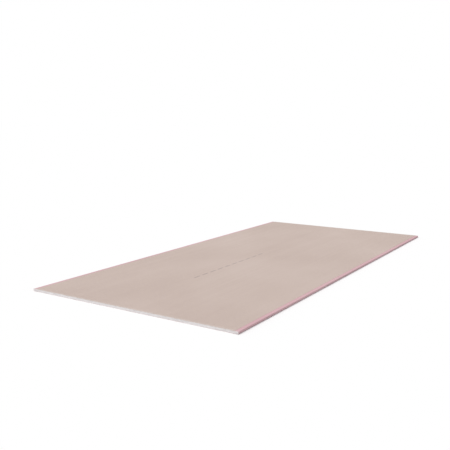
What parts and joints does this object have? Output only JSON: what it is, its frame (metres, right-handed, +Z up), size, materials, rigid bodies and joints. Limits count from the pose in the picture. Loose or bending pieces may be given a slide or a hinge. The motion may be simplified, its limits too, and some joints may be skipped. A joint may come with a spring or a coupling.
{
  "type": "drywall sheet",
  "caption": "Flat rectangular gypsum sheet bound in pink face paper and beige back paper, with tapered long edges and square-cut ends, for lining walls and ceilings.",
  "frame": {"origin": "centre of the sheet's footprint, on the face that lies on the floor", "axes": "+Y along the length, +X across the width, +Z up through the thickness to the back"},
  "size_m": [1.2, 2.5, 0.0125],
  "materials": {
    "gypsum": "matte",
    "pink_face_paper": "matte",
    "beige_back_paper": "matte"
  },
  "bodies": {
    "root": {"gypsum_core": "gypsum", "face_paper": "pink_face_paper", "back_paper": "beige_back_paper"}
  },
  "joints": []
}
